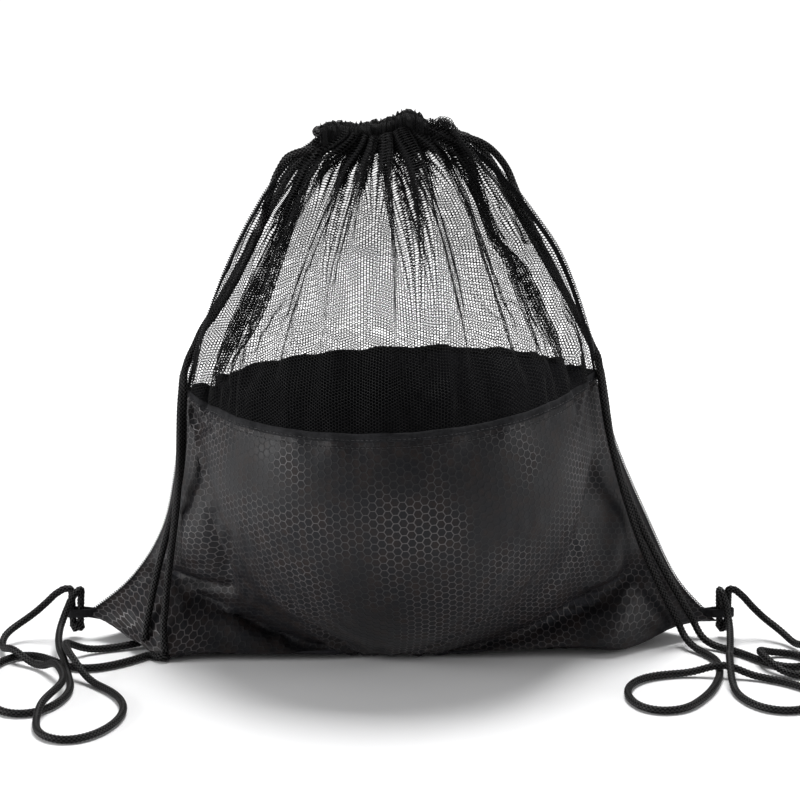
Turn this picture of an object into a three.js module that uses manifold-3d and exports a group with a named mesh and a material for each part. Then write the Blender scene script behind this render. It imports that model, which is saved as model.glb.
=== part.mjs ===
// Drawstring ball bag: an embossed coated lower half, a net upper half, a cinched mouth with two
// draw cords, and a webbing tab at each bottom corner. The bag keeps the shape it takes round one ball.
// Millimetres, +Z up, front towards -Y. The origin is on the ground under the ball's centre.
import * as THREE from "three";
import { mergeVertices } from "three/addons/utils/BufferGeometryUtils.js";
import Module from "manifold-3d";

const wasm = await Module();
wasm.setup();

// ---------------------------------------------------------------- driving dimensions
const BALL_RADIUS = 121.5;
const LOWER_THICKNESS = 1.4;
const NET_THICKNESS = 1.2;
const BALL_EASE = 0.5; // between the ball and the inside of the fabric
const GROUND_FLAT = 3; // how far the loaded underside is pressed flat
const SKIN_RADIUS = BALL_RADIUS + BALL_EASE + LOWER_THICKNESS;
const BALL_CENTRE = new THREE.Vector3(0, 0, SKIN_RADIUS - GROUND_FLAT);

const EDGE_GAP = 0.9; // from the middle plane to the inside of each panel, along the sewn edges
const PANEL_SHIFT = LOWER_THICKNESS + EDGE_GAP;
const SEAM_GAP = 0.45; // between stacked pieces
const HEM_PATH = 234; // up the front of the bag, from under the ball to the hem of the lower half
const JOIN_HEIGHT = 4; // the folded band where net meets coated fabric

const NECK = new THREE.Vector3(-14, 0, 301); // centre of the gathered neck
const NECK_RADIUS = 13;
const CASING = { left: -46, right: 24, low: 313.5, high: 338.5, inner: 2.6, outer: 15.4 };
const TUNNEL = { halfWidth: 3.6, halfHeight: 8 };
const TUNNEL_Y = (CASING.inner + CASING.outer) / 2;

const CORD_RADIUS = 2.4;
const CORD_SIDES = 6;
const LOW_CORD_Z = 320.8; // the left cord's run through the casing
const HIGH_CORD_Z = 331.2; // the right cord's run
const THREAD_RADIUS = 0.55;
const BOTTOM_STITCH = { halfWidth: 0.5, height: 0.8, from: 0.05, to: 0.95 };
const TAPE = { from: 2, to: 9, thickness: 0.8 };
const TAB = { width: 8, wall: 1.1, holeLong: 11.4, holeWide: 6.2, tail: 19 };
const KNOT = { radius: 6.2, height: 8.4, gap: 1.2, grip: 3 }; // gap below the loop; grip on the cord ends

const COLUMNS = 24;
const LOWER_ROWS = 13;
const NET_ROWS = 10;

// Side edges as [x, z], from the bottom corner up to the lower half's hem, then on to the neck.
const EDGES = {
  left: {
    lower: [[-196, 9], [-166, 40], [-147, 76], [-139, 118], [-133, 160]],
    upper: [[-133, 160], [-121, 198], [-101, 250], [-74, 298], [-60, 310]],
  },
  right: {
    lower: [[202, 5], [179, 38], [160, 82], [139, 128], [125, 168]],
    upper: [[125, 168], [121, 196], [104, 246], [72, 294], [50, 311]],
  },
};

// ---------------------------------------------------------------- materials
const colours = {
  coated: [0x2b2b2d, 0.55],
  net: [0x17171a, 0.8],
  binding: [0x1b1b1d, 0.85],
  cord: [0x141416, 0.75],
  thread: [0x202022, 0.9],
};
const materials = Object.fromEntries(
  Object.entries(colours).map(([name, [color, roughness]]) => [
    name,
    new THREE.MeshStandardMaterial({ color, roughness, metalness: 0 }),
  ]),
);

const bag = new THREE.Group();

function add(name, material, geometry) {
  const mesh = new THREE.Mesh(geometry, materials[material]);
  mesh.name = name;
  bag.add(mesh);
  return mesh;
}

// ---------------------------------------------------------------- the shape of the skin
const curveXZ = (points) =>
  new THREE.CatmullRomCurve3(points.map(([x, z]) => new THREE.Vector3(x, 0, z)), false, "centripetal");

const edgeCurves = Object.fromEntries(
  Object.entries(EDGES).map(([side, parts]) => [
    side,
    { lower: curveXZ(parts.lower), upper: curveXZ(parts.upper) },
  ]),
);

// The angle up the ball, from straight down, at which the net leaves it for the neck.
const rise = NECK.z - BALL_CENTRE.z;
const LEAVE_ANGLE = Math.PI - Math.acos((SKIN_RADIUS - NECK_RADIUS) / rise);
const LEAVE_PATH = SKIN_RADIUS * LEAVE_ANGLE;
const NECK_PATH = LEAVE_PATH + Math.sqrt(rise ** 2 - (SKIN_RADIUS - NECK_RADIUS) ** 2);

// The round body that the fabric is drawn over, at a distance up the front, and the point it touches.
function former(path) {
  const k = Math.max(0, (path - LEAVE_PATH) / (NECK_PATH - LEAVE_PATH));
  const centre = new THREE.Vector3().lerpVectors(BALL_CENTRE, NECK, k);
  const radius = THREE.MathUtils.lerp(SKIN_RADIUS, NECK_RADIUS, k);
  const angle = Math.min(path / SKIN_RADIUS, LEAVE_ANGLE);
  const touch = new THREE.Vector3(0, -Math.sin(angle), -Math.cos(angle)).multiplyScalar(radius).add(centre);
  return { centre, radius, touch };
}

// A thread drawn tight from one side edge to the other over the former; share runs from 0 to 1 along it.
function tautPoint(left, right, { centre, radius, touch }, share) {
  const along = right.clone().sub(left);
  const span = along.length();
  along.normalize();
  const out = touch.clone().sub(left);
  out.addScaledVector(along, -out.dot(along)).normalize();
  const toCentre = centre.clone().sub(left);
  const across = new THREE.Vector3().crossVectors(along, out);
  const r = Math.sqrt(Math.max(radius ** 2 - toCentre.dot(across) ** 2, 1e-6));
  const b = new THREE.Vector2(toCentre.dot(along), toCentre.dot(out));
  const leave = (distance, drop) => {
    const reach = Math.max(Math.hypot(distance, drop), r * 1.0001);
    const angle = Math.atan2(drop, distance) + Math.asin(r / reach);
    return { angle, length: Math.sqrt(reach ** 2 - r ** 2) };
  };
  const start = leave(b.x, b.y);
  const end = leave(span - b.x, b.y);
  const arc = Math.max(0, start.angle + end.angle);
  const total = start.length + r * arc + end.length;
  const s = share * total;
  const place = (u, w) => left.clone().addScaledVector(along, u).addScaledVector(out, w);
  if (s < start.length) return place(s * Math.cos(start.angle), s * Math.sin(start.angle));
  if (s > total - end.length) {
    const back = total - s;
    return place(span - back * Math.cos(end.angle), back * Math.sin(end.angle));
  }
  const turn = Math.PI / 2 + start.angle - (s - start.length) / r;
  return place(b.x + r * Math.cos(turn), b.y + r * Math.sin(turn));
}

// A point of the front skin: path is the distance up the front, share runs from left edge to right edge.
function skin(path, share) {
  const upper = path > HEM_PATH;
  const along = upper ? (path - HEM_PATH) / (NECK_PATH - HEM_PATH) : path / HEM_PATH;
  const part = upper ? "upper" : "lower";
  const left = edgeCurves.left[part].getPointAt(along);
  const right = edgeCurves.right[part].getPointAt(along);
  const point = tautPoint(left, right, former(path), share);
  point.y -= PANEL_SHIFT;
  point.z = Math.max(point.z, 0);
  return point;
}

const STEP = 0.5;
function skinNormal(path, share) {
  const low = Math.max(path - STEP, 0);
  const high = Math.min(path + STEP, NECK_PATH);
  const up = skin(high, share).sub(skin(low, share));
  const e = 0.002;
  const across = skin(path, Math.min(share + e, 1)).sub(skin(path, Math.max(share - e, 0)));
  return new THREE.Vector3().crossVectors(across, up).normalize();
}

// ---------------------------------------------------------------- sheets
// A closed sheet between an outer and an inner grid of points; grid[row][column].
function sheetGeometry(outer, inner, flip) {
  const rows = outer.length;
  const columns = outer[0].length;
  const positions = [...outer.flat(), ...inner.flat()].flatMap((p) => [p.x, p.y, p.z]);
  const index = [];
  const at = (layer, i, j) => layer * rows * columns + i * columns + j;
  const quad = (a, b, c, d) => (flip ? index.push(a, c, b, a, d, c) : index.push(a, b, c, a, c, d));
  for (let i = 0; i < rows - 1; i++)
    for (let j = 0; j < columns - 1; j++) {
      quad(at(0, i, j), at(0, i, j + 1), at(0, i + 1, j + 1), at(0, i + 1, j));
      quad(at(1, i, j), at(1, i + 1, j), at(1, i + 1, j + 1), at(1, i, j + 1));
    }
  for (let j = 0; j < columns - 1; j++) {
    quad(at(0, 0, j), at(1, 0, j), at(1, 0, j + 1), at(0, 0, j + 1));
    quad(at(0, rows - 1, j), at(0, rows - 1, j + 1), at(1, rows - 1, j + 1), at(1, rows - 1, j));
  }
  for (let i = 0; i < rows - 1; i++) {
    quad(at(0, i, 0), at(0, i + 1, 0), at(1, i + 1, 0), at(1, i, 0));
    quad(at(0, i, columns - 1), at(1, i, columns - 1), at(1, i + 1, columns - 1), at(0, i + 1, columns - 1));
  }
  const geometry = new THREE.BufferGeometry();
  geometry.setAttribute("position", new THREE.Float32BufferAttribute(positions, 3));
  geometry.setIndex(index);
  return geometry;
}

// The part of the skin between two distances up the front, made for the front or mirrored for the back.
function panel(from, to, rows, thickness, back) {
  const outer = [];
  const inner = [];
  for (let i = 0; i <= rows; i++) {
    const path = THREE.MathUtils.lerp(from, to, i / rows);
    const points = [...Array(COLUMNS + 1).keys()].map((j) => {
      const share = j / COLUMNS;
      const p = skin(path, share);
      const q = p.clone().addScaledVector(skinNormal(path, share), -thickness);
      q.y = Math.min(q.y, -EDGE_GAP);
      return [p, q];
    });
    outer.push(points.map(([p]) => p));
    inner.push(points.map(([, q]) => q));
  }
  if (back) [...outer.flat(), ...inner.flat()].forEach((p) => (p.y = -p.y));
  return sheetGeometry(outer, inner, back);
}

for (const [side, back] of [["front", false], ["back", true]]) {
  const joinTop = HEM_PATH + SEAM_GAP + JOIN_HEIGHT;
  add(`${side}_lower_panel`, "coated", panel(0, HEM_PATH, LOWER_ROWS, LOWER_THICKNESS, back));
  add(`${side}_join_band`, "binding", panel(HEM_PATH + SEAM_GAP, joinTop, 1, LOWER_THICKNESS, back));
  add(`${side}_net_panel`, "net", panel(joinTop + SEAM_GAP, NECK_PATH, NET_ROWS, NET_THICKNESS, back));
}

// ---------------------------------------------------------------- round pieces along a path
function circle(radius, sides) {
  const point = (i) => {
    const turn = (2 * Math.PI * (i + 0.5)) / sides;
    return new THREE.Vector2(radius * Math.cos(turn), radius * Math.sin(turn));
  };
  return new THREE.Shape([...Array(sides).keys()].map(point));
}

function tube(curve, radius, sides, spacing) {
  const steps = Math.max(2, Math.round(curve.getLength() / spacing));
  return new THREE.ExtrudeGeometry(circle(radius, sides), { extrudePath: curve, steps });
}

const smooth = (points) =>
  new THREE.CatmullRomCurve3(points.map((p) => new THREE.Vector3(...p)), false, "centripetal");

function cord(name, points, spacing = 9) {
  return add(name, "cord", tube(smooth(points), CORD_RADIUS, CORD_SIDES, spacing));
}

// ---------------------------------------------------------------- seams
const SEAM_START = 22; // up the side edge, clear of the corner tab
for (const side of ["left", "right"]) {
  const inwards = side === "left" ? 1 : -1;
  const edge = new THREE.CurvePath();
  edge.add(edgeCurves[side].lower);
  edge.add(edgeCurves[side].upper);
  const length = edge.getLength();
  const points = [...Array(25).keys()].map((i) =>
    edge.getPointAt(THREE.MathUtils.lerp(SEAM_START, length - 1, i / 24) / length),
  );
  const line = new THREE.CatmullRomCurve3(points, false, "centripetal");
  add(`${side}_side_seam`, "thread", tube(line, THREAD_RADIUS, 4, 14));

  // A flat tape inside the seam, between the two panels.
  const strip = (y) =>
    points.slice(1, -1).map((p) =>
      [TAPE.from, TAPE.to].map((x) => new THREE.Vector3(p.x + inwards * x, y, p.z)),
    );
  const half = TAPE.thickness / 2;
  add(`${side}_seam_tape`, "binding", sheetGeometry(strip(-half), strip(half), side === "right"));
}
// The stitching along the bottom is pressed into a flat ribbon; its middle lies on the ground.
const ribbon = (height) =>
  [-BOTTOM_STITCH.halfWidth, BOTTOM_STITCH.halfWidth].map((y) =>
    [...Array(29).keys()].map((i) => {
      const p = skin(0, THREE.MathUtils.lerp(BOTTOM_STITCH.from, BOTTOM_STITCH.to, i / 28));
      return new THREE.Vector3(p.x, y, p.z + height);
    }),
  );
add("bottom_seam", "thread", sheetGeometry(ribbon(0), ribbon(BOTTOM_STITCH.height), true));

// ---------------------------------------------------------------- casings round the mouth
function stadium(halfWide, halfTall, Kind) {
  const path = new Kind();
  path.absarc(0, halfTall - halfWide, halfWide, 0, Math.PI, false);
  path.absarc(0, halfWide - halfTall, halfWide, Math.PI, 2 * Math.PI, false);
  path.closePath();
  return path;
}

function casing(name, sign) {
  const halfWide = (CASING.outer - CASING.inner) / 2;
  const halfTall = (CASING.high - CASING.low) / 2;
  const profile = stadium(halfWide, halfTall, THREE.Shape);
  profile.holes.push(stadium(TUNNEL.halfWidth, TUNNEL.halfHeight, THREE.Path));
  const length = CASING.right - CASING.left;
  const extrusion = { depth: length, bevelEnabled: false, curveSegments: 6 };
  const geometry = new THREE.ExtrudeGeometry(profile, extrusion);
  geometry.rotateY(Math.PI / 2).rotateX(Math.PI / 2); // profile upright, extrusion along +X
  const mesh = add(name, "net", geometry);
  mesh.position.set(CASING.left, sign * TUNNEL_Y, (CASING.low + CASING.high) / 2);
}
casing("front_casing", -1);
casing("back_casing", 1);

// ---------------------------------------------------------------- draw cords
// Each cord runs through both casings, turns round at the far end, and leaves at its own side.
const TURN = { reach: 8, from: 2, straight: 1.4, end: 0.4 }; // the U-turn past the casing, and its cut end
const CASING_CLEAR = 4;
function casingRun(name, exitX, farX, z, sign) {
  const out = Math.sign(farX - exitX);
  const y = sign * TUNNEL_Y;
  const turn = [0.3, 0.6, 0.9].map((share) => {
    const angle = (share * Math.PI) / 2;
    const ySpan = TUNNEL_Y - TURN.from;
    return [farX + out * TURN.reach * Math.sin(angle), y - sign * ySpan * (1 - Math.cos(angle)), z];
  });
  for (const cut of [TURN.straight, TURN.end]) turn.push([farX + out * TURN.reach, sign * cut, z]);
  const straight = [0, 0.25, 0.5, 0.75, 1].map((k) => [THREE.MathUtils.lerp(exitX, farX, k), y, z]);
  cord(name, [...straight, ...turn], 7);
}
const leftExit = CASING.left - CASING_CLEAR;
const rightExit = CASING.right + CASING_CLEAR;
for (const [side, sign] of [["front", -1], ["back", 1]]) {
  casingRun(`left_cord_${side}_run`, leftExit, rightExit, LOW_CORD_Z, sign);
  casingRun(`right_cord_${side}_run`, rightExit, leftExit, HIGH_CORD_Z, sign);
}

// How far the skin stands out from the middle plane near a place seen from the front.
const skinSamples = [];
for (let path = 0; path <= NECK_PATH; path += 6)
  for (let share = 0; share <= 1; share += 0.02) skinSamples.push(skin(path, share));
function skinDepth(x, z) {
  const near = skinSamples.filter((p) => Math.hypot(p.x - x, p.z - z) < 7);
  return Math.max(0, ...near.map((p) => -p.y));
}

// A place beside the side edge: [z, inset, face], with face 1 behind the bag and -1 in front of it.
// Outside the edge (a negative inset) face only says how far the pair has come round it.
const STRAP_CLEAR = 3.5;
const STRAND_SPREAD = 3.3; // half the distance between a strap's two strands
const CROSSING_SPREAD = 1.3; // the strands part a little where they come round the side edge
const ROUND_EDGE = 8;
function edgeX(side, z) {
  const points = [...EDGES[side].lower, ...EDGES[side].upper.slice(1)];
  const k = Math.max(1, points.findIndex((p) => p[1] >= z));
  const [[x0, z0], [x1, z1]] = [points[k - 1], points[k]];
  return THREE.MathUtils.mapLinear(z, z0, z1, x0, x1);
}
function strandPoint(side, [z, inset, face], halfSpread) {
  const outwards = side === "left" ? -1 : 1;
  const spread = halfSpread * (inset < 0 ? CROSSING_SPREAD : 1);
  const turn = ((1 - face) * Math.PI) / 2;
  const x = edgeX(side, z) - outwards * inset + outwards * spread * Math.cos(turn);
  const y = inset < 0 ? face * ROUND_EDGE : face * (skinDepth(x, z) + STRAP_CLEAR);
  return [x, y - spread * Math.sin(turn), z];
}
const footPoint = ([x, z]) => [x, -skinDepth(x, z) - STRAP_CLEAR, z];

const GROUND = 2.7; // centre of a cord lying on the ground
const TAB_TOP = 24;

// Loose cord along a plan curve on the ground; it goes over any cord that is already down on its side.
const LAY = { step: 5, reach: 7.6, climb: 6, slope: 0.55, ownReach: 30, passes: 4 };
const down = { left: [], right: [] };
function lay(side, plan) {
  const curve = smooth(plan.map(([x, y]) => [x, y, GROUND]));
  const points = curve.getSpacedPoints(Math.round(curve.getLength() / LAY.step));
  const own = Math.round(LAY.ownReach / LAY.step);
  for (let pass = 0; pass < LAY.passes; pass++) {
    points.forEach((p, i) => {
      const under = [...down[side], ...points.slice(0, Math.max(0, i - own))];
      const near = under.filter((q) => Math.hypot(q.x - p.x, q.y - p.y) < LAY.reach);
      p.z = Math.max(p.z, ...near.map((q) => q.z + LAY.climb));
    });
    const ease = (p, q) => (p.z = Math.max(p.z, q.z - LAY.slope * LAY.step));
    for (let i = 1; i < points.length; i++) ease(points[i], points[i - 1]);
    for (let i = points.length - 1; i > 0; i--) ease(points[i - 1], points[i]);
  }
  down[side].push(...points);
  return points.map((p) => p.toArray());
}
const straps = {
  left: {
    places: [[284, 12, 1], [258, 10, 1], [228, 8, 1], [204, 7, 1], [184, -6, 0.5], [164, -6, -0.5],
      [144, 6, -1], [112, 7, -1], [82, 8, -1], [58, 10, -1]],
    front: {
      lead: [[leftExit - 0.7, -TUNNEL_Y, LOW_CORD_Z], [leftExit - 4, -TUNNEL_Y, LOW_CORD_Z],
        [-66, -4, 318], [-73, 6, 312.5], [-78, 13, 304]],
      foot: [[-146, 34], [-142, 18]],
      fall: [[-141, -28, 8], [-144, -33, 3.6]],
      plan: [[-150, -38], [-162, -52], [-176, -64], [-191, -70], [-204, -64], [-216, -50], [-229, -42],
        [-241, -50], [-249, -72], [-250, -102], [-242, -132], [-229, -152], [-214, -152], [-201, -134],
        [-196, -108], [-201, -80], [-208, -54]],
      rise: [[-211, -34, 11], [-211, -20, 14], [-208, -11, 22], [-204, -6, 30], [-200.4, -2, 33.5]],
      end: -200.2,
    },
    back: {
      lead: [[leftExit - 0.7, TUNNEL_Y, LOW_CORD_Z], [leftExit - 4, TUNNEL_Y, LOW_CORD_Z],
        [-62, 12, 318.5], [-67, 17, 312], [-71, 20, 303]],
      foot: [[-153, 34], [-155, 18]],
      fall: [[-158, -20, 8], [-163, -23, 3.6]],
      plan: [[-171, -26], [-184, -31], [-197, -38], [-206, -52], [-200, -74], [-184, -96], [-169, -116],
        [-161, -140], [-163, -166], [-175, -190], [-190, -199], [-204, -190], [-210, -166], [-206, -138],
        [-200, -112], [-205, -86], [-219, -66], [-235, -52], [-246, -36]],
      rise: [[-247, -20, 8], [-238, -8, 12], [-226, -2, 20], [-216, 0, 29], [-209.5, 0, 33.5], [-206, 0, 32]],
      end: -205.8,
    },
  },
  right: {
    places: [[282, 12, 1], [258, 10, 1], [234, 9, 1], [208, 7, 1], [186, -6, 0.5], [166, -6, -0.5],
      [146, 6, -1], [112, 8, -1], [84, 10, -1], [60, 12, -1]],
    front: {
      lead: [[rightExit + 0.7, -TUNNEL_Y, HIGH_CORD_Z], [rightExit + 4, -TUNNEL_Y, HIGH_CORD_Z],
        [40, -5, 332], [50, -1, 329], [61, 6, 320], [69, 12, 306]],
      foot: [[168, 34], [177, 18]],
      fall: [[181, -24, 8], [185, -28, 3.6]],
      plan: [[191, -36], [198, -50], [199, -72], [194, -98], [184, -124], [168, -146], [150, -146],
        [140, -128], [140, -106], [150, -88], [168, -80], [190, -78], [212, -82], [232, -92], [248, -108],
        [252, -128], [240, -146], [222, -146], [209, -130], [203, -104], [204, -76], [207, -52]],
      rise: [[209, -34, 11], [210, -20, 14], [209, -11, 22], [207, -6, 30], [205.4, -2, 33.5]],
      end: 205.2,
    },
    back: {
      lead: [[rightExit + 0.7, TUNNEL_Y, HIGH_CORD_Z], [rightExit + 4, TUNNEL_Y, HIGH_CORD_Z],
        [40, 5, 332], [48, 6, 330], [56, 13, 322], [63, 20, 308]],
      foot: [[176, 34], [187, 18]],
      fall: [[191, -20, 8], [195, -23, 3.6]],
      plan: [[202, -27], [213, -36], [223, -50], [235, -64], [249, -68], [256, -56], [250, -42],
        [236, -38], [226, -46], [226, -62], [238, -78], [254, -86], [262, -72], [259, -48], [252, -28]],
      rise: [[244, -12, 8], [235, -4, 13], [225, 0, 22], [217, 0, 30.5], [212.5, 0, 33.5], [211, 0, 31.5]],
      end: 210.8,
    },
  },
};

// One strand from the casing to the corner tab, cut where the lead, the strap and the slack meet.
const CUT = 0.8;
const END_STRAIGHT = 0.7; // keeps each end square to the strand
const CUT_HEIGHTS = { strap: 296, slack: 13 };
function cutStrand(names, points) {
  const curve = smooth(points);
  const length = curve.getLength();
  const steps = 900;
  curve.arcLengthDivisions = steps;
  curve.updateArcLengths();
  const falls = (height) => {
    for (let i = 1; i <= steps; i++) if (curve.getPointAt(i / steps).z < height) return (i / steps) * length;
    return length;
  };
  const bounds = [0, falls(CUT_HEIGHTS.strap), falls(CUT_HEIGHTS.slack), length];
  names.forEach((name, k) => {
    const from = bounds[k] + (k ? CUT : 0);
    const to = bounds[k + 1];
    const count = Math.max(4, Math.round((to - from) / (k ? 9 : 5)));
    const inner = [...Array(count * 2 - 1).keys()].map((i) => from + ((to - from) * (i + 1)) / (2 * count));
    const distances = [from, from + END_STRAIGHT, ...inner, to - END_STRAIGHT, to];
    const samples = distances.map((d) => curve.getPointAt(d / length));
    const piece = new THREE.CatmullRomCurve3(samples, false, "centripetal");
    const profile = circle(CORD_RADIUS, CORD_SIDES);
    add(name, "cord", new THREE.ExtrudeGeometry(profile, { extrudePath: piece, steps: count }));
  });
}
for (const [side, shape] of Object.entries(straps))
  for (const [face, spread] of [["front", STRAND_SPREAD], ["back", -STRAND_SPREAD]]) {
    const { lead, foot, fall, plan, rise, end } = shape[face];
    const strap = shape.places.map((place) => strandPoint(side, place, spread));
    const tail = [TAB_TOP + 5.5, TAB_TOP + 2.5, TAB_TOP].map((z) => [end, 0, z]);
    const slack = [...fall, ...lay(side, plan), ...rise];
    const points = [...lead, ...strap, ...foot.map(footPoint), ...slack, ...tail];
    cutStrand([`${side}_${face}_lead`, `${side}_${face}_strap`, `${side}_${face}_slack`], points);
  }

// ---------------------------------------------------------------- corner tabs and knots
async function joined(geometries) {
  const solids = geometries.map((g) => {
    const bare = g.index ? g.toNonIndexed() : g.clone();
    bare.deleteAttribute("normal");
    bare.deleteAttribute("uv");
    const merged = mergeVertices(bare, 1e-4);
    return new wasm.Manifold(
      new wasm.Mesh({
        numProp: 3,
        vertProperties: merged.attributes.position.array,
        triVerts: new Uint32Array(merged.index.array),
      }),
    );
  });
  const mesh = solids.reduce((a, b) => a.add(b)).getMesh();
  const geometry = new THREE.BufferGeometry();
  geometry.setAttribute("position", new THREE.BufferAttribute(new Float32Array(mesh.vertProperties), 3));
  geometry.setIndex(new THREE.BufferAttribute(new Uint32Array(mesh.triVerts), 1));
  return geometry;
}

// Webbing folded into a loop: its tail lies in the side seam, and the cord ends pass down through the loop.
function tabGeometry(sign) {
  const long = TAB.holeLong / 2 + TAB.wall;
  const wide = TAB.holeWide / 2 + TAB.wall;
  const ring = stadium(wide, long, THREE.Shape);
  ring.holes.push(stadium(TAB.holeWide / 2, TAB.holeLong / 2, THREE.Path));
  const loop = new THREE.ExtrudeGeometry(ring, { depth: TAB.width, bevelEnabled: false, curveSegments: 6 });
  loop.rotateZ(Math.PI / 2);
  const tail = new THREE.BoxGeometry(TAB.tail, TAPE.thickness, TAB.width);
  tail.translate(-sign * (long + TAB.tail / 2 - TAB.wall / 2), 0, TAB.width / 2);
  return [loop, tail];
}

const corners = {
  left: { sign: -1, loop: new THREE.Vector3(-203, 0, 13) },
  right: { sign: 1, loop: new THREE.Vector3(208, 0, 13) },
};
const STRAND_GAP = 2.8; // half the distance between the two cord ends in the loop
for (const [side, { sign, loop }] of Object.entries(corners)) {
  const tab = add(`${side}_corner_tab`, "binding", await joined(tabGeometry(sign)));
  tab.position.copy(loop);

  const low = loop.z - KNOT.gap - KNOT.height;
  const profile = [...Array(9).keys()].map((i) => {
    const t = i / 8;
    const bulge = Math.sin(Math.PI * t) ** 0.5;
    return new THREE.Vector2(i % 8 ? KNOT.radius * bulge : 0, t * KNOT.height);
  });
  const knot = new THREE.LatheGeometry(profile, 12).rotateX(Math.PI / 2).translate(loop.x, loop.y, low);
  const ends = [-1, 1].map((k) => {
    const x = loop.x + k * STRAND_GAP;
    const foot = new THREE.Vector3(x, 0, low + KNOT.height - KNOT.grip);
    const head = new THREE.Vector3(x, 0, TAB_TOP - CUT);
    return tube(new THREE.LineCurve3(foot, head), CORD_RADIUS, CORD_SIDES, 20);
  });
  add(`${side}_knot`, "cord", await joined([knot, ...ends]));
}

export default bag;
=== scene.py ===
"""Visual model of a drawstring ball bag: coated honeycomb lower half, net upper half, draw cords."""

import math

import bpy
import numpy as np
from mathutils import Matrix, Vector
from mathutils.bvhtree import BVHTree
from mathutils.kdtree import KDTree


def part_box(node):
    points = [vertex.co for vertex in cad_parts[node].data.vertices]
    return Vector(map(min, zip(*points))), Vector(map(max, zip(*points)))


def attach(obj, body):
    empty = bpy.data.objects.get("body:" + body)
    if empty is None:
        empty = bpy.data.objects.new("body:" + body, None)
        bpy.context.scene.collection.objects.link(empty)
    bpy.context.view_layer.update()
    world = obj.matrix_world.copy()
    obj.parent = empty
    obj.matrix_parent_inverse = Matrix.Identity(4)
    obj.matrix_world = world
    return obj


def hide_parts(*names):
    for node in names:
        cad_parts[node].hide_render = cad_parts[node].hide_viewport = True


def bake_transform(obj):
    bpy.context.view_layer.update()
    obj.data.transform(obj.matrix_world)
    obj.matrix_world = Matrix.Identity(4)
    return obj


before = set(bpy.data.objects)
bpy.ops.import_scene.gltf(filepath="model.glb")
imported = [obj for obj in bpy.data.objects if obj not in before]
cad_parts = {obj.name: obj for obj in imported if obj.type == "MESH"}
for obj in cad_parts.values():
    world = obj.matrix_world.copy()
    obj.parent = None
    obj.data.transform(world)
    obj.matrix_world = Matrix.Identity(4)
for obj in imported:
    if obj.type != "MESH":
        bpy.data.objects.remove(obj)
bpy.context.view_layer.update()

# ------ driving dimensions (metres)
MM = 0.001
FULL_TURN = 2 * math.pi
BALL_RADIUS = 121.5 * MM
SKIN_RADIUS = 122.6 * MM  # of cloth drawn tight over the ball
BALL_CENTRE = np.array([0.0, 0.0, 119.6]) * MM
EDGE_HALF = 1.2 * MM  # half the distance between the two panels at the side seams
HEM_PATH = 234 * MM  # cloth height of the coated lower half, up the middle
BAND_HEIGHT = 4 * MM
BAND_TOP = HEM_PATH + BAND_HEIGHT
NECK = np.array([-12.0, 0.0, 314.0]) * MM
NECK_RADIUS = 13 * MM
PANEL_WIDTH = 400 * MM
SIDES = {"left": -1, "right": 1}
MIRRORED = np.array([1, -1, 1])

# The side seams below and above the hem, where the two lines meet, as x and z in millimetres.
EDGES = {
    "left": {
        "lower": [(-199, 14), (-168, 42), (-148, 76), (-139, 118), (-133, 160)],
        "upper": [(-133, 160), (-121, 198), (-101, 250), (-72, 300), (-42, 325)],
    },
    "right": {
        "lower": [(205, 11), (180, 40), (160, 82), (139, 128), (125, 171)],
        "upper": [(125, 171), (121, 198), (104, 246), (85, 275), (64, 301), (40, 321), (22, 327)],
    },
}


# ------ curves
SPAN_STEPS = 24


def lengths_of(vectors):
    return np.linalg.norm(vectors, axis=-1)


def distance_along(line):
    return np.concatenate([[0], np.cumsum(lengths_of(np.diff(line, axis=0)))])


def line_length(line):
    return distance_along(line)[-1]


def resample(points, samples):
    """The same line with evenly spaced points."""
    along = distance_along(points)
    at = np.linspace(0, along[-1], samples)
    return np.stack([np.interp(at, along, column) for column in points.T], axis=1)


def finer(points, steps):
    """A smooth curve through the points, or through rows of points, with more steps between each two."""
    before, after = 2 * points[:1] - points[1:2], 2 * points[-1:] - points[-2:-1]
    p = np.concatenate([before, points, after])[:, None]
    a, b, c, d = p[:-3], p[1:-2], p[2:-1], p[3:]
    t = np.linspace(0, 1, steps, endpoint=False).reshape((-1,) + (1,) * (points.ndim - 1))
    curve = 0.5 * (2 * b + (c - a) * t + (2 * a - 5 * b + 4 * c - d) * t**2 + (3 * b - a - 3 * c + d) * t**3)
    return np.concatenate([curve.reshape((-1,) + points.shape[1:]), points[-1:]])


def catmull(points, samples):
    """Even samples along a smooth curve through the points."""
    return resample(finer(points, SPAN_STEPS), samples)


def ease(x, low, high):
    """A smooth rise from 0 at low to 1 at high."""
    t = np.clip((x - low) / (high - low), 0, 1)
    return t * t * (3 - 2 * t)


def unit(vectors):
    return vectors / (np.linalg.norm(vectors, axis=-1, keepdims=True) + 1e-12)


# ------ building meshes
def quads(index):
    """Four corner numbers for each cell of a grid of point numbers."""
    corners = (index[:-1, :-1], index[:-1, 1:], index[1:, 1:], index[1:, :-1])
    return np.stack([corner.ravel() for corner in corners], axis=1)


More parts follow.
